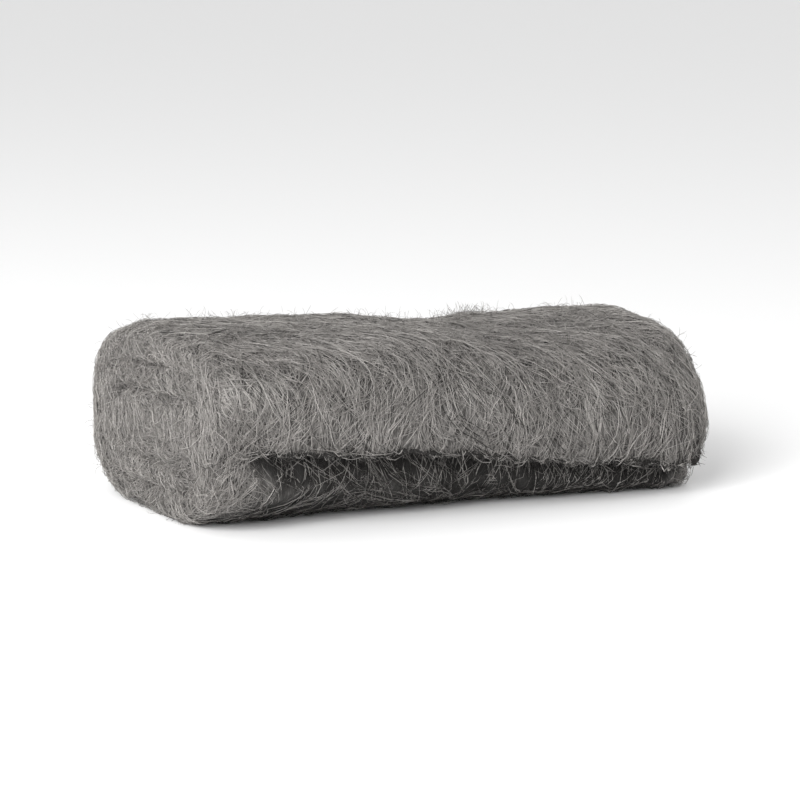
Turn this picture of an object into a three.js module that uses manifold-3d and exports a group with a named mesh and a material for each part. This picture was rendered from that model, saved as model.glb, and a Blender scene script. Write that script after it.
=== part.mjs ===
// A hand pad of steel wool, as sold in sleeves for rubbing down wood and metal.
// It is one long ribbon of wool, rolled up and then pressed flat, so it is one piece:
// the ribbon's width is the pad's length, and its turns show as a spiral at both ends.
// The ribbon's outer end is a soft lip along the lower front, and the pad rests on a flat.
// Frame: millimetres, +X along the roll, -Y the side with the lip, +Z up.
// The origin is at the middle of the underside.

import * as THREE from "three";
import { mergeVertices } from "three/addons/utils/BufferGeometryUtils.js";
import Module from "manifold-3d";

const wasm = await Module();
wasm.setup();

// Driving dimensions
const LENGTH = 118; // along the roll
const HALF_WIDTH = 41.6; // of the pressed roll, at the ribbon's outer end
const HALF_HEIGHT = 23.5; // the same, upwards
const FULLNESS = 2.8; // 2 presses the roll to an ellipse, and more squares its edges
const PLY = 6.2; // thickness of the ribbon between two turns
const LIP = 6.6; // how far the ribbon's outer end stands proud
const LIP_ANGLE = Math.PI * 1.03; // where it ends, at the middle of the front
const LIP_NOSE = 0.03; // the lip's edge is rounded over this share of a turn
const LIP_NOSE_DEPTH = 2.2; // and its tip lies this much further in
const LIP_SLANT = 6.2; // the lip slants down to the right, by this much from the middle on
const LIP_DROP = 3.2; // and by this much more at both ends
const LIP_CORNER = 8; // its corner at the right end is rounded over this length
const LIP_CORNER_UP = 0.045; // and rises by this share of a turn
const HOLLOW_UP = 0.04; // how far the hollow reaches up behind the lip, in turns
const HOLLOW_DEPTH = 3.6; // how far it is pinched in behind the lip
const HOLLOW_REACH = 0.04; // the pinch fades out over this share of a turn
const SHUT_UNTIL = -0.94; // the lip lies flat on the roll from the left end (-1) up to here
const OPEN_FROM = -0.68; // and stands open from here to the right end (1)
const SHUT_NOSE = 0.1; // where it is shut it thins out over this share of a turn
const SHUT_STEP = 0.5; // to an edge this high
const SHUT_HOLLOW = 0.05; // and this share of the hollow's height is left
const THINNER = 0.03; // the right end is pressed thinner by this share, and the left less
const WAIST = 0.085; // and a waist is thinner by this share
const WAIST_AT = 0.41; // to the right of the middle, as a share of the half length
const WAIST_REACH = 0.46; // and it fades out over this share of it
const TURNS = 2.9; // how far in the spiral can be followed
const END_REACH = 12; // the ends narrow over this length
const END_ROUND = 0.94; // 1 would round the ends right off, and less leaves a flat face
const END_NARROWS_Y = 7; // each side, by this much
const END_NARROWS_Z = 4.6; // top and bottom, by this much, and more suddenly
const FLAT_CUT = 1.6; // what resting on a surface takes off the underside
const GROOVE_WIDTH = 1.2; // the soft gap between two turns, at the ends
const GROOVE_DEPTH = 3.6;
const GROOVE_FROM = 0.7; // it starts this far up the hollow

// How finely the round stretches are cut
const OUTLINE_POINTS = 68;
const HOLLOW_POINTS = 4;
const GROOVE_POINTS_A_TURN = 26;
const LENGTH_STEPS = 36;
const GROOVE_STEPS = 3;

// How far the lip is pressed shut, at a place from the left end (-1) to the right end (1).
function shutAt(along) {
  return 1 - THREE.MathUtils.smoothstep(along, SHUT_UNTIL, OPEN_FROM);
}

// How much of a turn is missing from the ribbon's outer end, where its corner is rounded.
function missingAt(along) {
  const past = 1 - ((1 - along) * LENGTH) / 2 / LIP_CORNER;
  return LIP_CORNER_UP * (1 - Math.sqrt(1 - Math.max(past, 0) ** 2));
}

// A point of the spiral, this many turns in from the ribbon's outer end.
// The first turn is the pad's own outline, which steps in under the lip.
function spiralPoint(turns, along, aside = 0) {
  const angle = LIP_ANGLE - 2 * Math.PI * turns;
  const shut = shutAt(along);
  const noseDepth = THREE.MathUtils.lerp(LIP_NOSE_DEPTH, LIP - SHUT_STEP, shut);
  const noseReach = THREE.MathUtils.lerp(LIP_NOSE, SHUT_NOSE, shut);
  const nose = noseDepth * Math.max(1 - (turns - missingAt(along)) / noseReach, 0) ** 2;
  const pinch = (1 - shut) * HOLLOW_DEPTH * Math.exp(-(((turns - 1) / HOLLOW_REACH) ** 2));
  const wound = LIP * Math.min(turns, 1) + PLY * Math.max(turns - 1, 0);
  const inset = wound + nose + pinch + aside;
  const rounded = (share) => Math.sign(share) * Math.abs(share) ** (2 / FULLNESS);
  return new THREE.Vector2(
    (HALF_WIDTH - inset) * rounded(Math.cos(angle)),
    (HALF_HEIGHT - inset) * rounded(Math.sin(angle)),
  );
}

// The pad's cross-section: one turn of the spiral and the hollow's back, closed by the lip.
function sectionOutline(along) {
  const up = HOLLOW_UP * Math.max(1 - shutAt(along), SHUT_HOLLOW);
  const missing = missingAt(along);
  const outline = [];
  for (let i = 0; i < OUTLINE_POINTS; i++) {
    outline.unshift(spiralPoint(missing + ((1 - missing) * i) / (OUTLINE_POINTS - 1), along));
  }
  for (let i = 1; i <= HOLLOW_POINTS; i++) {
    outline.unshift(spiralPoint(1 + (up * i) / HOLLOW_POINTS, along));
  }
  return outline;
}

// The gap between two turns: a thin strip along the spiral, from the hollow's top inwards.
function grooveShape(along) {
  const first = 1 + GROOVE_FROM * HOLLOW_UP;
  const steps = Math.round((TURNS - first) * GROOVE_POINTS_A_TURN);
  const outer = [];
  const inner = [];
  for (let i = 0; i <= steps; i++) {
    const turns = first + ((TURNS - first) * i) / steps;
    outer.push(spiralPoint(turns, along, -GROOVE_WIDTH / 2));
    inner.unshift(spiralPoint(turns, along, GROOVE_WIDTH / 2));
  }
  return new THREE.Shape([...outer, ...inner]);
}

// The roll is drawn across Y and Z, so an extruded shape turns to run along X.
const ALONG_X = new THREE.Matrix4().makeBasis(
  new THREE.Vector3(0, 1, 0),
  new THREE.Vector3(0, 0, 1),
  new THREE.Vector3(1, 0, 0),
);

function extrudeAlongX(shape, from, to, steps) {
  const geometry = new THREE.ExtrudeGeometry(shape, {
    depth: to - from,
    steps,
    bevelEnabled: false,
  });
  return geometry.applyMatrix4(ALONG_X).translate(from, 0, 0);
}

// The straight roll: its section at each step along it, joined up and closed at both ends.
// The steps lie closer together towards its ends, where it rounds off.
function straightRoll() {
  const places = [];
  const faces = [];
  for (let i = 0; i <= LENGTH_STEPS; i++) {
    const along = Math.sin(Math.PI * (i / LENGTH_STEPS - 0.5));
    const outline = sectionOutline(along);
    const around = outline.length;
    for (const point of outline) places.push((along * LENGTH) / 2, point.x, point.y);
    const first = i * around;
    for (let j = 0; i > 0 && j < around; j++) {
      const here = first + j;
      const next = first + ((j + 1) % around);
      faces.push(here - around, next - around, here);
      faces.push(next - around, next, here);
    }
    if (i === 0 || i === LENGTH_STEPS) {
      for (const [a, b, c] of THREE.ShapeUtils.triangulateShape(outline, [])) {
        faces.push(...(i === 0 ? [c, b, a] : [first + a, first + b, first + c]));
      }
    }
  }
  const geometry = new THREE.BufferGeometry();
  geometry.setAttribute("position", new THREE.Float32BufferAttribute(places, 3));
  geometry.setIndex(faces);
  return geometry;
}

// Presses the straight roll to its real form: the lip slants, one end is thinner,
// and the section is drawn in towards both ends, where the wool is softer.
function press(geometry) {
  const half = LENGTH / 2;
  const underside = LIP - HALF_HEIGHT;
  const place = geometry.getAttribute("position");
  for (let i = 0; i < place.count; i++) {
    const along = THREE.MathUtils.clamp(place.getX(i) / half, -1, 1);
    const front = THREE.MathUtils.smoothstep(-place.getY(i) / HALF_WIDTH, 0, 1);
    const level = 1 - (place.getZ(i) / HALF_HEIGHT) ** 2;
    const lowered = LIP_SLANT * along + LIP_DROP * along ** 2;
    const slanted = place.getZ(i) - lowered * front * level;
    const past = (Math.abs(along) * half - (half - END_REACH)) / END_REACH;
    const narrowed = 1 - Math.sqrt(1 - END_ROUND * Math.max(past, 0) ** 2);
    const drawnIn = slanted * (1 - (END_NARROWS_Z / HALF_HEIGHT) * narrowed ** 2);
    place.setY(i, place.getY(i) * (1 - (END_NARROWS_Y / HALF_WIDTH) * narrowed));
    const waist = WAIST * Math.exp(-(((along - WAIST_AT) / WAIST_REACH) ** 2));
    const thinned = 1 - THINNER * along - waist;
    place.setZ(i, underside + (drawnIn - underside) * thinned);
  }
  return geometry;
}

// A closed geometry as a manifold-3d solid.
function solidOf(geometry) {
  const bare = new THREE.BufferGeometry();
  bare.setAttribute("position", geometry.getAttribute("position"));
  bare.setIndex(geometry.index);
  const merged = mergeVertices(bare, 1e-4);
  return new wasm.Manifold(
    new wasm.Mesh({
      numProp: 3,
      vertProperties: merged.getAttribute("position").array,
      triVerts: new Uint32Array(merged.index.array),
    }),
  );
}

function geometryOf(solid) {
  const mesh = solid.getMesh();
  const geometry = new THREE.BufferGeometry();
  geometry.setAttribute("position", new THREE.BufferAttribute(mesh.vertProperties, 3));
  geometry.setIndex(new THREE.BufferAttribute(mesh.triVerts, 1));
  return geometry;
}

// The rolled and pressed ribbon, with the spiral gap open at each end.
function rolledRibbon() {
  const half = LENGTH / 2;
  const spare = 1;
  const roll = solidOf(press(straightRoll()));
  const left = extrudeAlongX(grooveShape(-1), -half - spare, GROOVE_DEPTH - half, GROOVE_STEPS);
  const right = extrudeAlongX(grooveShape(1), half - GROOVE_DEPTH, half + spare, GROOVE_STEPS);
  return roll.subtract(solidOf(press(left))).subtract(solidOf(press(right)));
}

// Everything below the height that the pad settles to.
function underTheFlat(lowest) {
  const deep = 10;
  const block = new THREE.BoxGeometry(2 * LENGTH, 4 * HALF_WIDTH, deep);
  return solidOf(block.translate(0, 0, lowest + FLAT_CUT - deep / 2));
}

function padGeometry() {
  const roll = rolledRibbon();
  const settled = roll.subtract(underTheFlat(roll.boundingBox().min[2]));
  const geometry = geometryOf(settled);
  geometry.computeBoundingBox();
  const { min, max } = geometry.boundingBox;
  geometry.translate(-(min.x + max.x) / 2, -(min.y + max.y) / 2, -min.z);
  geometry.computeVertexNormals();
  return geometry;
}

const woolGrey = new THREE.MeshStandardMaterial({
  color: 0x77736f,
  roughness: 0.55,
  metalness: 0.8,
});

const pad = new THREE.Mesh(padGeometry(), woolGrey);
pad.name = "steel_wool_pad";

const steelWoolPad = new THREE.Group();
steelWoolPad.add(pad);

export default steelWoolPad;
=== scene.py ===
import math

import bmesh
import bpy
import numpy as np
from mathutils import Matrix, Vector, noise
from mathutils.bvhtree import BVHTree


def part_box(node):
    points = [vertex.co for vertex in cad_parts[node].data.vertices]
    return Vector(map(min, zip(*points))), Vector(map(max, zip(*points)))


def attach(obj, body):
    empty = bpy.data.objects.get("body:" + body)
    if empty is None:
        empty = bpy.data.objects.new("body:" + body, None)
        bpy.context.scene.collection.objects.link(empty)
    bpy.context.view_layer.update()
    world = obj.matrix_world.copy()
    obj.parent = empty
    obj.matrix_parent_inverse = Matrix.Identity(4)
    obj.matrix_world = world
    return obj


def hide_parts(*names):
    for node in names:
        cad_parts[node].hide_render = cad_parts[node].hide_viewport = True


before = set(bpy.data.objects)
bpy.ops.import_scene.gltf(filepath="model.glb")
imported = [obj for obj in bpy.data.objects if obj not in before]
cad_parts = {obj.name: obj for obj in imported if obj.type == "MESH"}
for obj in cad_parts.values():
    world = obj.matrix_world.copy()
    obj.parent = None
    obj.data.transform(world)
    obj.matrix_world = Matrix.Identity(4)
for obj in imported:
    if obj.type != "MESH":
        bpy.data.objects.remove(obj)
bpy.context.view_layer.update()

PAD = "steel_wool_pad"
MM = 0.001

LOW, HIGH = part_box(PAD)
LENGTH, WIDTH, HEIGHT = HIGH - LOW
MIDDLE = (LOW + HIGH) / 2
FULLNESS = 2.8  # how square the pressed roll's section is: 2 would be an ellipse

TUFT_AT = np.array([26, 17, 35]) * MM  # the wool is pulled up a little here, on top
TUFT_RADIUS = 6 * MM

draws = np.random.default_rng(16)


def new_object(name, data):
    made = bpy.data.objects.new(name, data)
    bpy.context.scene.collection.objects.link(made)
    return made


def towards(azimuth, elevation):
    """The direction of a place round the pad, in degrees. Azimuth 0 is in front of it."""
    round_it, up = math.radians(azimuth), math.radians(elevation)
    level = math.cos(up)
    return Vector((math.sin(round_it) * level, -math.cos(round_it) * level, math.sin(up)))


def face_the_pad(made, away, distance):
    """Puts a camera or light this far away in this direction, pointing at the pad's middle."""
    made.location = MIDDLE + away * distance
    made.rotation_euler = (-away).to_track_quat("-Z", "Y").to_euler()


# Camera


def aim_camera():
    """A long lens a little above table height, from the left of the front."""
    azimuth = -28
    elevation = 10
    distance = 0.65
    sensor = 36  # wide, in millimetres
    margin = 1.24  # how much wider the view is than the pad
    turned = math.radians(azimuth)
    pad_across = LENGTH * math.cos(turned) - WIDTH * math.sin(turned)
    view_across = margin * pad_across
    camera_data = bpy.data.cameras.new("camera")
    camera_data.sensor_width = sensor
    camera_data.lens = sensor * distance / view_across
    camera = new_object("camera", camera_data)
    face_the_pad(camera, towards(azimuth, elevation), distance)
    bpy.context.scene.camera = camera


aim_camera()


# The batt: the body of tangled wool under the fibres


def vectors_of(items, field):
    found = np.empty(len(items) * 3, np.float32)
    items.foreach_get(field, found)
    return found.reshape(-1, 3).astype(float)


def evaluated_mesh(made):
    """The object's mesh with its modifiers applied, as a new mesh."""
    depsgraph = bpy.context.evaluated_depsgraph_get()
    return bpy.data.meshes.new_from_object(made.evaluated_get(depsgraph))


def near_tuft(place):
    """1 at the middle of the tuft, down to 0 well away from it."""
    return np.exp(-((np.linalg.norm(place - TUFT_AT, axis=-1) / TUFT_RADIUS) ** 2))


def in_the_gap(solid_tree, point, side):
    """How far a place on the pad's left (-1) or right (1) end lies in the gap between two turns,
    from 0 to 1."""
    around = 0.8 * MM
    gap_depth = 1.6 * MM
    enough = 2  # this many of the five rays have to go that deep for a 1
    outside = 2 * side * HIGH.x
    inwards = Vector((-side, 0, 0))
    deep = 0
    for y, z in ((0, 0), (around, 0), (-around, 0), (0, around), (0, -around)):
        eye = Vector((outside, point[1] + y, point[2] + z))
        distance = solid_tree.ray_cast(eye, inwards)[3]
        deep += distance is not None and distance > HIGH.x + gap_depth
    return min(deep / enough, 1)


def make_batt():
    """The pad's own solid, remeshed evenly, drawn in a little, and given the wool's lumps. The
    gap between the turns is too thin for the even mesh, so it is pressed in again."""
    voxel = 0.9 * MM
    drawn_in = 1.0 * MM
    lump_height = 0.9 * MM
    lump_size = 16 * MM
    ridge_height = 0.6 * MM
    ridge_width = 2.6 * MM
    ridge_length = 14 * MM
    ring_radius = 25 * MM
    tuft_height = 1.4 * MM
    gap_pressed = 1.5 * MM
    end_facing = 0.8  # a place whose normal lies this much along the roll is on one of its ends
    flat_for = 3 * MM  # the lumps fade out over this height above the surface it rests on

    batt = new_object("wool_batt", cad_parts[PAD].data.copy())
    merged = bmesh.new()
    merged.from_mesh(batt.data)
    bmesh.ops.remove_doubles(merged, verts=merged.verts, dist=1e-6)
    merged.to_mesh(batt.data)
    solid_tree = BVHTree.FromBMesh(merged)
    merged.free()
    remesh = batt.modifiers.new("even", "REMESH")
    remesh.mode = "VOXEL"
    remesh.voxel_size = voxel
    soften = batt.modifiers.new("soften", "SMOOTH")
    soften.factor = 0.5
    soften.iterations = 5
    mesh = evaluated_mesh(batt)
    batt.modifiers.clear()
    batt.data = mesh

    points = vectors_of(mesh.vertices, "co")
    normals = vectors_of(mesh.vertices, "normal")
    for i, (point, normal) in enumerate(zip(points, normals)):
        round_it = math.atan2((point[2] - MIDDLE.z) / HEIGHT, (point[1] - MIDDLE.y) / WIDTH)
        ring_y = ring_radius * math.cos(round_it) / ridge_length
        ring_z = ring_radius * math.sin(round_it) / ridge_length
        lump = noise.noise(Vector(point) / lump_size)
        ridge = noise.noise((point[0] / ridge_width, ring_y, ring_z))
        free = min(max(point[2] / flat_for, 0), 1)
        out = lump_height * lump * free + ridge_height * ridge - drawn_in
        if abs(normal[0]) > end_facing:
            out -= gap_pressed * in_the_gap(solid_tree, point, math.copysign(1, normal[0]))
        points[i] = point + normal * (out + tuft_height * near_tuft(point))
    points[:, 2] = np.maximum(points[:, 2], 0)
    mesh.vertices.foreach_set("co", points.astype(np.float32).ravel())
    mesh.update()
    mesh.shade_smooth()
    return batt


batt = make_batt()
batt_tree = BVHTree.FromPolygons(
    [vertex.co for vertex in batt.data.vertices],
    [polygon.vertices for polygon in batt.data.polygons],
)


def all_round(count):
    """This many directions, spread evenly over a sphere."""
    number = np.arange(count) + 0.5
    height = 1 - 2 * number / count
    turn = np.pi * (1 + 5**0.5) * number
    level = np.sqrt(1 - height**2)
    return np.stack([level * np.cos(turn), level * np.sin(turn), height], axis=1)


def find_shade():
    """How deep in shade or in a fold each of the batt's faces lies: 0 for an upright face in the
    open, and 1 for one with no light from above. It is painted into the fibres' and the batt's
    colour as shade, and kept on the batt's points for the batt's material to paint in."""
    clear_of_it = 1.9 * MM
    reach = 30 * MM
    shallow = 0.1  # a fold that closes off less than this of a face's view doesn't count
    fold_counts = 1.6
    views = all_round(160)
    from_above = np.maximum(views[:, 2], 0)
    polygons = batt.data.polygons
    centres = vectors_of(polygons, "center")
    normals = vectors_of(polygons, "normal")
    found = np.zeros(len(polygons))
    for i, (centre, normal) in enumerate(zip(centres, normals)):
        eye = Vector(centre + normal * clear_of_it)
        outwards = np.maximum(views @ normal, 0)
        hits = [
            (above > 0 or out > 0) and batt_tree.ray_cast(eye, Vector(view), reach)[0] is not None
            for view, above, out in zip(views, from_above, outwards)
        ]
        shade = 2 * np.average(hits, weights=from_above) - 1
        fold = fold_counts * (np.average(hits, weights=outwards) - shallow)
        found[i] = min(max(shade, fold, 0), 1)
    corners = np.empty(len(batt.data.loops), np.int32)
    batt.data.loops.foreach_get("vertex_index", corners)
    sizes = np.empty(len(polygons), np.int32)
    polygons.foreach_get("loop_total", sizes)
    points = len(batt.data.vertices)
    total = np.bincount(corners, np.repeat(found, sizes), points)
    mean = total / np.maximum(np.bincount(corners, minlength=points), 1)
    kept = batt.data.attributes.new("painted_shade", "FLOAT", "POINT")
    kept.data.foreach_set("value", mean.astype(np.float32))
    return found


face_shade = find_shade()
HOLLOW = 0.45  # a face more shaded than this is in a hollow
SHADE_PAINTED_IN = 1.6  # how strongly the measured shade is painted into the fibres' and the batt's colour


# Where fibres go


def unit(vectors):
    return vectors / np.maximum(np.linalg.norm(vectors, axis=-1, keepdims=True), 1e-9)


def flattened(vectors, normals):
    """What is left of these vectors in the surface with these normals."""
    return vectors - (vectors * normals).sum(-1, keepdims=True) * normals


def nearest_on_batt(spots):
    """The batt's nearest points to these spots, and its normals and measured shade there."""
    hits = [batt_tree.find_nearest(spot) for spot in spots.tolist()]
    places = np.array([hit[0] for hit in hits])
    normals = np.array([hit[1] for hit in hits])
    return places, normals, face_shade[[hit[2] for hit in hits]]


def along_the_turns(points):
    """The direction in which the ribbon is wound, at each point."""
    across = (points[:, 1] - MIDDLE.y) / (WIDTH / 2)
    up = (points[:, 2] - MIDDLE.z) / (HEIGHT / 2)
    slope_y = np.sign(across) * abs(across) ** (FULLNESS - 1) / WIDTH
    slope_z = np.sign(up) * abs(up) ** (FULLNESS - 1) / HEIGHT
    return unit(np.stack([np.zeros(len(points)), -slope_z, slope_y], axis=1) + 1e-9)


def spots_on_batt(count, wanted=None):
    """Random spots on the batt and its normals there. wanted(places, normals) weighs its faces."""
    polygons = batt.data.polygons
    centres = vectors_of(polygons, "center")
    normals = vectors_of(polygons, "normal")
    weights = np.empty(len(polygons), np.float32)
    polygons.foreach_get("area", weights)
    weights = weights.astype(float)
    if wanted is not None:
        weights *= wanted(centres, normals)
    chosen = draws.choice(len(polygons), size=count, p=weights / weights.sum())
    return centres[chosen], normals[chosen]


def all_over(places, normals):
    """All over, but thinner on the underside."""
    thinner = 0.4
    return np.where(normals[:, 2] > -0.85, 1, thinner)


def at_the_ends(places, normals):
    """Clear of the hollows, and mostly at the two ends."""
    elsewhere = 0.12
    return (face_shade < HOLLOW) * (elsewhere + (abs(normals[:, 0]) > 0.4))


def at_the_lip(places, normals):
    """Just the rounded edge of the ribbon's outer end, which faces down along the front."""
    forward = places[:, 1] < LOW.y + 0.06 * WIDTH
    off_the_floor = places[:, 2] > 0.1 * HEIGHT
    facing_down = normals[:, 2] < -0.15
    return (forward & off_the_floor & facing_down).astype(float)


def in_the_open(places, normals):
    """Clear of the hollows, more in some patches than in others, and most at the tuft."""
    patch = 11 * MM
    usual = 0.45
    unevenness = 1.6
    fewest = 0.05
    at_tuft = 3
    patches = np.array([noise.noise(Vector(place) / patch) for place in places])
    patchy = np.clip(usual + unevenness * patches, fewest, 1)
    return (face_shade < HOLLOW / 2) * (patchy + at_tuft * near_tuft(places))


# How fibres run


def respaced(fine, last, points):
    """Each finely stepped path up to its last step, with this many points instead.
    They lie closer together where the path turns, as it does round the lip's edge."""
    turn_counts_as = 7 * MM  # a turn of one radian counts as this much length
    found = np.empty((len(fine), points, fine.shape[2]))
    for i, (path, end) in enumerate(zip(fine, last)):
        path = path[: end + 1]
        steps = np.diff(path[:, :3], axis=0)
        headings = unit(steps)
        bends = np.arccos(np.clip((headings[1:] * headings[:-1]).sum(1), -1, 1))
        worth = np.linalg.norm(steps, axis=1)
        worth[1:] += turn_counts_as / 2 * bends
        worth[:-1] += turn_counts_as / 2 * bends
        run = np.concatenate([[0], np.cumsum(worth)])
        wanted = np.linspace(0, run[-1], points)
        for column in range(fine.shape[2]):
            found[i, :, column] = np.interp(wanted, run, path[:, column])
    return found


def swirl(places):
    """How far the wool is turned aside in the surface near each place, in radians."""
    patch = 17 * MM
    strength = 1.1
    return strength * np.array([noise.noise(Vector(place) / patch) for place in places])


def laid(starts, slant, length, points, wander):
    """Lays a path from each start over the batt, along the turns but slanted and wandering.
    Gives its points and the batt's normals. A path ends early where it runs into a corner,
    and where it would run into a hollow or out of one."""
    stride = 1.1 * MM
    fewest_strides = 3
    least_left = 0.35  # a path ends where less than this of its heading is left in the surface
    bend_kept = 0.75  # this much of a path's bend lasts to its next stride
    strides = round(length / stride)
    count = len(starts)
    fine = np.empty((count, strides + 1, 6))
    last = np.full(count, strides)
    place, normal, shade_there = nearest_on_batt(starts)
    began_in_hollow = shade_there > HOLLOW
    heading = along_the_turns(place) * draws.choice([-1, 1], (count, 1))
    bend = draws.normal(0, wander, count)
    for i in range(strides + 1):
        fine[:, i, :3] = place
        fine[:, i, 3:] = normal
        heading = flattened(heading, normal)
        cornered = np.linalg.norm(heading, axis=1) < least_left
        crossed = (shade_there > HOLLOW) != began_in_hollow
        last[(cornered | crossed) & (last > i) & (i > 0)] = i
        heading = unit(heading)
        wound = flattened(along_the_turns(place), normal)
        known = np.clip(3 * np.linalg.norm(wound, axis=1, keepdims=True) - 1, 0, 1)
        wound = unit(wound) * np.where((wound * heading).sum(1, keepdims=True) < 0, -1, 1)
        aside = np.cross(normal, wound)
        bend = bend_kept * bend + draws.normal(0, wander, count)
        slant = slant + bend
        turned = (slant + swirl(place))[:, None]
        slanted = np.cos(turned) * wound + np.sin(turned) * aside
        heading = unit(known * slanted + (1 - known) * heading)
        place, normal, shade_there = nearest_on_batt(place + heading * stride)
    kept = last >= fewest_strides
    found = respaced(fine[kept], last[kept], points)
    return found[..., :3], unit(found[..., 3:])


def bundled(path, normal, strands, spread, lift, wave, wave_length):
    """Gives each laid path a bundle of strands that weave beside and over each other."""
    kink = 0.12 * wave
    rise = 0.35 * wave
    count, points, _ = path.shape
    tangent = unit(np.gradient(path, axis=1))
    side = np.cross(normal, tangent)
    run = np.linalg.norm(np.diff(path, axis=1), axis=2).cumsum(1)
    along = np.concatenate([np.zeros((count, 1)), run], axis=1)
    share = np.linspace(-0.5, 0.5, points)[None]
    made = []
    for _ in range(strands):
        waves = 2 * np.pi * along / (wave_length * draws.uniform(0.7, 1.5, (count, 1)))
        phases = draws.uniform(0, 2 * np.pi, (2, count, 1))
        sway = wave * draws.uniform(0.3, 1.4, (count, 1)) * np.sin(waves + phases[0])
        aside = draws.normal(0, spread, (count, 1)) + draws.normal(0, spread, (count, 1)) * share
        kinks = draws.normal(0, kink, (count, points))
        height = draws.uniform(lift[0], lift[1], (count, 1))
        height = height + rise * np.sin(0.8 * waves + phases[1])
        made.append(path + side * (aside + sway + kinks)[..., None] + normal * height[..., None])
    return np.concatenate(made)


def loose(starts, headings, pull, points, step, curl):
    """Free paths from each start, which curl at random and are pulled back by pull at each step."""
    axis_wander = 0.35
    count = len(starts)
    path = np.empty((count, points, 3))
    place = starts
    heading = unit(headings)
    axis = unit(draws.normal(0, 1, (count, 3)))
    turn = draws.normal(0, curl, (count, 1))
    for i in range(points):
        path[:, i] = place
        axis = unit(axis + draws.normal(0, axis_wander, (count, 3)))
        heading = unit(heading + turn * np.cross(axis, heading) + pull)
        place = place + heading * step
    return path


# What fibres are made of


def add_node(tree, kind, **settings):
    node = tree.nodes.new(kind)
    for name, value in settings.items():
        setattr(node, name, value)
    return node


def steel_fibre():
    """Bare steel wire. Where a fibre lies across the UV map sets its tone, from dark to bright,
    and the tone also changes a little along it. That tone has shade painted into it, and the
    darkest don't shine."""
    changes_by = 0.3
    shine_for_tone = 3.5
    material = bpy.data.materials.new("steel_fibre")
    material.use_nodes = True
    tree = material.node_tree
    shader = tree.nodes["Principled BSDF"]
    shader.inputs["Roughness"].default_value = 0.6
    shader.inputs["Specular IOR Level"].default_value = 0.1
    uv = add_node(tree, "ShaderNodeUVMap", uv_map="OFBake")
    place = add_node(tree, "ShaderNodeSeparateXYZ")
    grain = add_node(tree, "ShaderNodeTexNoise")
    grain.inputs["Scale"].default_value = 9
    change = add_node(tree, "ShaderNodeMath", operation="MULTIPLY_ADD")
    change.inputs[1].default_value = changes_by
    tone = add_node(tree, "ShaderNodeMath", operation="SUBTRACT")
    tone.inputs[1].default_value = changes_by / 2
    tones = add_node(tree, "ShaderNodeValToRGB")
    tones.color_ramp.elements[0].position = 0.0
    tones.color_ramp.elements[0].color = (0.02, 0.019, 0.018, 1)
    tones.color_ramp.elements[1].position = 1.0
    tones.color_ramp.elements[1].color = (0.56, 0.537, 0.514, 1)
    tree.links.new(uv.outputs["UV"], place.inputs["Vector"])
    tree.links.new(uv.outputs["UV"], grain.inputs["Vector"])
    tree.links.new(grain.outputs["Fac"], change.inputs[0])
    tree.links.new(place.outputs["X"], change.inputs[2])
    tree.links.new(change.outputs["Value"], tone.inputs[0])
    shine = add_node(tree, "ShaderNodeMath", operation="MULTIPLY", use_clamp=True)
    shine.inputs[1].default_value = shine_for_tone
    tree.links.new(tone.outputs["Value"], shine.inputs[0])
    tree.links.new(shine.outputs["Value"], shader.inputs["Metallic"])
    tree.links.new(tone.outputs["Value"], tones.inputs["Fac"])
    tree.links.new(tones.outputs["Color"], shader.inputs["Base Color"])
    return material


STEEL_FIBRE = steel_fibre()


def fibre_section():
    """Shaved steel fibres are roughly three-sided."""
    section = bpy.data.curves.new("fibre_section", "CURVE")
    spline = section.splines.new("POLY")
    spline.points.add(2)
    for i, point in enumerate(spline.points):
        turn = -2 * math.pi * i / 3
        point.co = (math.cos(turn), math.sin(turn), 0, 1)
    spline.use_cyclic_u = True
    return new_object("fibre_section", section)


SECTION = fibre_section()


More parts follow.
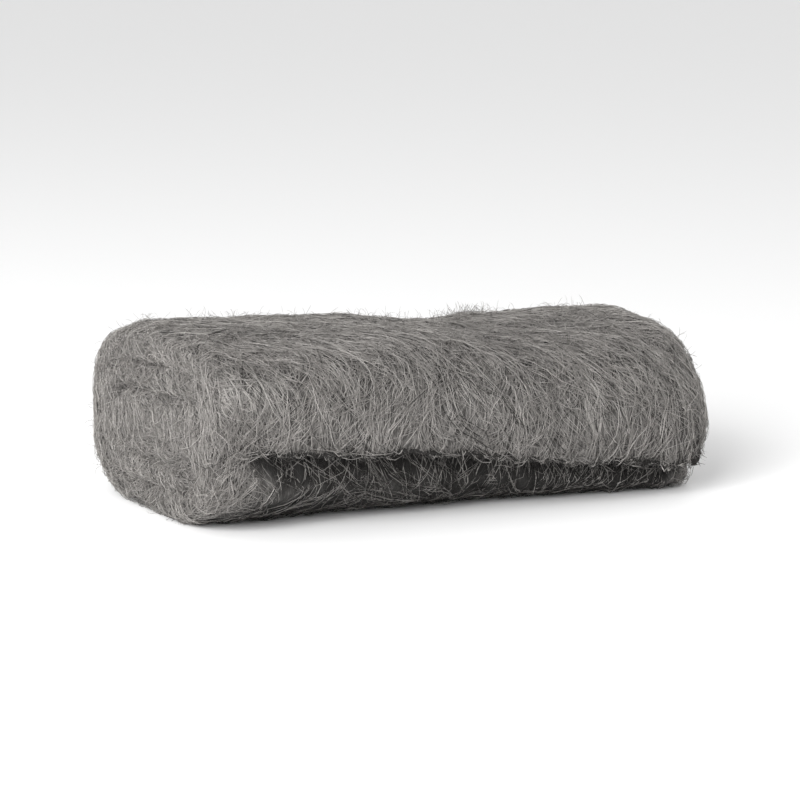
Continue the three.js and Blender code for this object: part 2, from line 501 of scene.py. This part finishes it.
def make_fibres(name, paths, thickness, tones):
    """One piece of many fibres, each a closed three-sided thread drawn to a point at both ends.
    Its UV map runs up each fibre's length, and how far to the right it lies is the fibre's tone,
    between the two tones given. Shade is painted into that tone: fibres in the pad's hollows
    and folds, and under its lip, are painted darker."""
    count, points, _ = paths.shape
    widths = thickness * draws.uniform(0.65, 1.3, count)
    paths = paths.copy()
    paths[..., 2] = np.maximum(paths[..., 2], widths.max() / 2)
    taper = np.ones(points)
    taper[[0, -1]] = 0
    curve = bpy.data.curves.new(name, "CURVE")
    curve.dimensions = "3D"
    curve.twist_mode = "MINIMUM"
    curve.bevel_mode = "OBJECT"
    curve.bevel_object = SECTION
    corners = np.ones((count, points, 4), np.float32)
    corners[..., :3] = paths
    for corner, width in zip(corners, widths):
        spline = curve.splines.new("POLY")
        spline.points.add(points - 1)
        spline.points.foreach_set("co", corner.ravel())
        spline.points.foreach_set("radius", (width / 2 * taper).astype(np.float32))
    drawn = new_object(name + "_paths", curve)
    mesh = evaluated_mesh(drawn)
    bpy.data.objects.remove(drawn)
    mesh.name = name

    columns = 32
    column_edge = 0.1
    row_edge = 0.02
    patch = 7 * MM  # the wool's tone changes a little from patch to patch of this size
    patch_change = 0.3
    counted = 0.75  # all but a quarter of a fibre's points are no more shaded than it counts as
    most_painted_darkness = 0.96
    # painted shade: each fibre's tone is darkened by the shade measured on the batt under most of
    # its points
    _, _, shade_there = nearest_on_batt(paths.reshape(-1, 3))
    most_shade_there = np.quantile(shade_there.reshape(count, points), counted, axis=1)
    painted_darkness = np.clip(SHADE_PAINTED_IN * most_shade_there, 0, most_painted_darkness)
    patches = np.array([noise.noise(Vector(place) / patch) for place in paths.mean(1)])
    mottle = 1 + patch_change * patches
    tone = np.clip(draws.uniform(*tones, count) * mottle * (1 - painted_darkness), 0, 0.99)
    column = (tone * columns).astype(int)
    vertex = np.empty(len(mesh.loops), np.int32)
    mesh.loops.foreach_get("vertex_index", vertex)
    layer = mesh.uv_layers[0]
    uv = np.empty(len(mesh.loops) * 2, np.float32)
    layer.uv.foreach_get("vector", uv)
    along, around = uv.reshape(-1, 2).T
    in_column = column_edge + (1 - 2 * column_edge) * around
    across = (column[vertex // (3 * points)] + in_column) / columns
    uv = np.stack([across, row_edge + (1 - 2 * row_edge) * along], axis=1)
    layer.uv.foreach_set("vector", uv.astype(np.float32).ravel())
    layer.name = "OFBake"

    threads = bmesh.new()
    threads.from_mesh(mesh)
    bmesh.ops.remove_doubles(threads, verts=threads.verts, dist=1e-6)
    threads.to_mesh(mesh)
    threads.free()
    mesh.shade_smooth()
    mesh.materials.clear()
    mesh.materials.append(STEEL_FIBRE)
    piece = new_object(name, mesh)
    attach(piece, "root")
    return piece


# The layers of fibres, from the batt outwards


def wound_fibres(name, bundles, strands, slanted, run, wander, lift, thickness, tones):
    """Fibres that run round the roll, in bundles. Their run is a length and a number of points."""
    starts, _ = spots_on_batt(bundles, all_over)
    slant = draws.normal(0, slanted, bundles)
    path, normal = laid(starts, slant, *run, wander)
    paths = bundled(
        path, normal, strands, spread=0.7 * MM, lift=lift, wave=0.5 * MM, wave_length=13 * MM
    )
    return make_fibres(name, paths, thickness, tones)


def curled_fibres(name, count, lift, thickness, tones):
    """Shorter fibres that follow the ribbon's turns over both ends, and curl and cross there."""
    starts, _ = spots_on_batt(count, at_the_ends)
    slant = draws.normal(0, 0.7, count)
    path, normal = laid(starts, slant, length=15 * MM, points=8, wander=0.12)
    paths = bundled(
        path, normal, strands=1, spread=0.3 * MM, lift=lift, wave=0.4 * MM, wave_length=7 * MM
    )
    return make_fibres(name, paths, thickness, tones)


def stray_fibres(name, count, thickness, tones):
    """Thin fibres that leave the pad and bend back to it, but stand up more in the tuft."""
    starts, normals = spots_on_batt(count, in_the_open)
    pull = -0.16 * normals * (1 - near_tuft(starts))[:, None]
    wound = along_the_turns(starts) * draws.choice([-1, 1], (count, 1))
    aside = draws.normal(0, 0.6, (count, 3))
    headings = unit(wound + aside) + normals * draws.uniform(0.1, 1.1, (count, 1))
    paths = loose(starts, headings, pull, points=6, step=0.8 * MM, curl=0.35)
    return make_fibres(name, paths, thickness, tones)


def frayed_lip(name, count, thickness, tones):
    """The ribbon's outer end: short fibres that stand out of the lip's edge."""
    starts, normals = spots_on_batt(count, at_the_lip)
    down = np.array([0, -0.2, -1])
    headings = down + draws.normal(0, 0.6, (count, 3)) + 0.3 * normals
    no_pull = np.zeros((count, 3))
    paths = loose(starts, headings, no_pull, points=7, step=0.4 * MM, curl=0.25)
    return make_fibres(name, paths, thickness, tones)


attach(batt, "root")
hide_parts(PAD)

LONG = (30 * MM, 9)
SHORT = (20 * MM, 7)
wound_fibres(
    "deep_fibres",
    bundles=1500,
    strands=3,
    slanted=0.5,
    run=LONG,
    wander=0.035,
    lift=(-0.2 * MM, 0.4 * MM),
    thickness=0.17 * MM,
    tones=(0.53, 0.7),
)
wound_fibres(
    "wound_fibres",
    bundles=1500,
    strands=3,
    slanted=0.5,
    run=LONG,
    wander=0.05,
    lift=(0.1 * MM, 0.7 * MM),
    thickness=0.14 * MM,
    tones=(0.55, 0.75),
)
wound_fibres(
    "outer_fibres",
    bundles=3200,
    strands=2,
    slanted=0.8,
    run=SHORT,
    wander=0.09,
    lift=(0.3 * MM, 1.0 * MM),
    thickness=0.09 * MM,
    tones=(0.6, 0.85),
)
curled_fibres(
    "curled_fibres", count=5000, lift=(0, 1.1 * MM), thickness=0.11 * MM, tones=(0.6, 0.95)
)
stray_fibres("stray_fibres", count=5200, thickness=0.07 * MM, tones=(0.45, 0.75))
frayed_lip("lip_fibres", count=240, thickness=0.1 * MM, tones=(0.4, 0.8))
bpy.data.objects.remove(SECTION)


def wool_with_painted_shade():
    """The batt between the fibres: finer, darker fibres still, that run round the roll too.
    Shade is painted into it: it is painted darker and less shiny where it lies in shade or in a
    fold."""
    swirled_by = 6 * MM
    shine_in_the_open = 0.9
    material = bpy.data.materials.new("wool_with_painted_shade")
    material.use_nodes = True
    tree = material.node_tree
    shader = tree.nodes["Principled BSDF"]
    shader.inputs["Specular IOR Level"].default_value = 0.1
    shader.inputs["Roughness"].default_value = 0.7
    place = add_node(tree, "ShaderNodeTexCoord")
    swirl = add_node(tree, "ShaderNodeTexNoise")
    swirl.inputs["Scale"].default_value = 130
    centred = add_node(tree, "ShaderNodeVectorMath", operation="SUBTRACT")
    centred.inputs[1].default_value = (0.5, 0.5, 0.5)
    swirled = add_node(tree, "ShaderNodeVectorMath", operation="MULTIPLY_ADD")
    swirled.inputs[1].default_value = (swirled_by, swirled_by, swirled_by)
    tree.links.new(place.outputs["Object"], swirl.inputs["Vector"])
    tree.links.new(swirl.outputs["Color"], centred.inputs[0])
    tree.links.new(centred.outputs["Vector"], swirled.inputs[0])
    tree.links.new(place.outputs["Object"], swirled.inputs[2])
    found = None
    for slant in (0.45, -0.3):
        stretched = add_node(tree, "ShaderNodeMapping")
        stretched.inputs["Rotation"].default_value = (0, slant, slant)
        stretched.inputs["Scale"].default_value = (3600, 420, 420)
        lines = add_node(tree, "ShaderNodeTexNoise")
        lines.inputs["Scale"].default_value = 1
        lines.inputs["Detail"].default_value = 1
        tree.links.new(swirled.outputs["Vector"], stretched.inputs["Vector"])
        tree.links.new(stretched.outputs["Vector"], lines.inputs["Vector"])
        if found is None:
            found = lines.outputs["Fac"]
        else:
            brighter = add_node(tree, "ShaderNodeMath", operation="MAXIMUM")
            tree.links.new(found, brighter.inputs[0])
            tree.links.new(lines.outputs["Fac"], brighter.inputs[1])
            found = brighter.outputs["Value"]
    tones = add_node(tree, "ShaderNodeValToRGB")
    tones.color_ramp.elements[0].position = 0.47
    tones.color_ramp.elements[0].color = (0.085, 0.081, 0.078, 1)
    tones.color_ramp.elements[1].position = 0.75
    tones.color_ramp.elements[1].color = (0.36, 0.345, 0.33, 1)
    relief = add_node(tree, "ShaderNodeBump")
    relief.inputs["Distance"].default_value = 0.3 * MM
    # painted shade: the batt's colour is mixed towards near black where its measured shade is high,
    # in hollows, folds and under the lip
    shade_there = add_node(tree, "ShaderNodeAttribute", attribute_name="painted_shade")
    painted_darkness = add_node(tree, "ShaderNodeMath", operation="MULTIPLY", use_clamp=True)
    painted_darkness.inputs[1].default_value = SHADE_PAINTED_IN
    painted_shade_mix = add_node(tree, "ShaderNodeMixRGB")
    painted_shade_mix.inputs["Color2"].default_value = (0.025, 0.024, 0.023, 1)
    tree.links.new(found, tones.inputs["Fac"])
    tree.links.new(found, relief.inputs["Height"])
    tree.links.new(shade_there.outputs["Fac"], painted_darkness.inputs[0])
    # painted shade: the batt is also made less metallic where shade is painted in
    shine = add_node(tree, "ShaderNodeMath", operation="SUBTRACT", use_clamp=True)
    shine.inputs[0].default_value = shine_in_the_open
    tree.links.new(painted_darkness.outputs["Value"], shine.inputs[1])
    tree.links.new(shine.outputs["Value"], shader.inputs["Metallic"])
    tree.links.new(painted_darkness.outputs["Value"], painted_shade_mix.inputs["Fac"])
    tree.links.new(tones.outputs["Color"], painted_shade_mix.inputs["Color1"])
    tree.links.new(painted_shade_mix.outputs["Color"], shader.inputs["Base Color"])
    tree.links.new(relief.outputs["Normal"], shader.inputs["Normal"])
    return material


batt.data.materials.clear()
batt.data.materials.append(wool_with_painted_shade())


# Stage and lights


def make_stage():
    """A pale floor, in a room with white walls and a dimmer ceiling."""
    floor_reach = 6
    ceiling = 0.55
    mesh = bpy.data.meshes.new("floor")
    plane = bmesh.new()
    bmesh.ops.create_grid(plane, x_segments=1, y_segments=1, size=floor_reach)
    plane.to_mesh(mesh)
    plane.free()
    floor = new_object("floor", mesh)
    material = bpy.data.materials.new("pale_floor")
    material.use_nodes = True
    shader = material.node_tree.nodes["Principled BSDF"]
    shader.inputs["Base Color"].default_value = (0.93, 0.93, 0.93, 1)
    shader.inputs["Roughness"].default_value = 0.6
    mesh.materials.append(material)
    world = bpy.data.worlds.new("studio")
    world.use_nodes = True
    tree = world.node_tree
    direction = add_node(tree, "ShaderNodeTexCoord")
    height = add_node(tree, "ShaderNodeSeparateXYZ")
    walls = add_node(tree, "ShaderNodeValToRGB")
    walls.color_ramp.elements[0].position = 0.25
    walls.color_ramp.elements[0].color = (1, 1, 1, 1)
    walls.color_ramp.elements[1].position = 0.8
    walls.color_ramp.elements[1].color = (ceiling, ceiling, ceiling, 1)
    tree.links.new(direction.outputs["Generated"], height.inputs["Vector"])
    tree.links.new(height.outputs["Z"], walls.inputs["Fac"])
    tree.links.new(walls.outputs["Color"], tree.nodes["Background"].inputs["Color"])
    tree.nodes["Background"].inputs["Strength"].default_value = 1.12
    bpy.context.scene.world = world


def softbox(name, azimuth, elevation, distance, size, power):
    data = bpy.data.lights.new(name, "AREA")
    data.shape = "SQUARE"
    data.size = size
    data.energy = power
    face_the_pad(new_object(name, data), towards(azimuth, elevation), distance)


make_stage()
softbox("key_softbox", azimuth=-54, elevation=25, distance=1.0, size=0.6, power=15.5)
bpy.context.scene.view_settings.view_transform = "Standard"
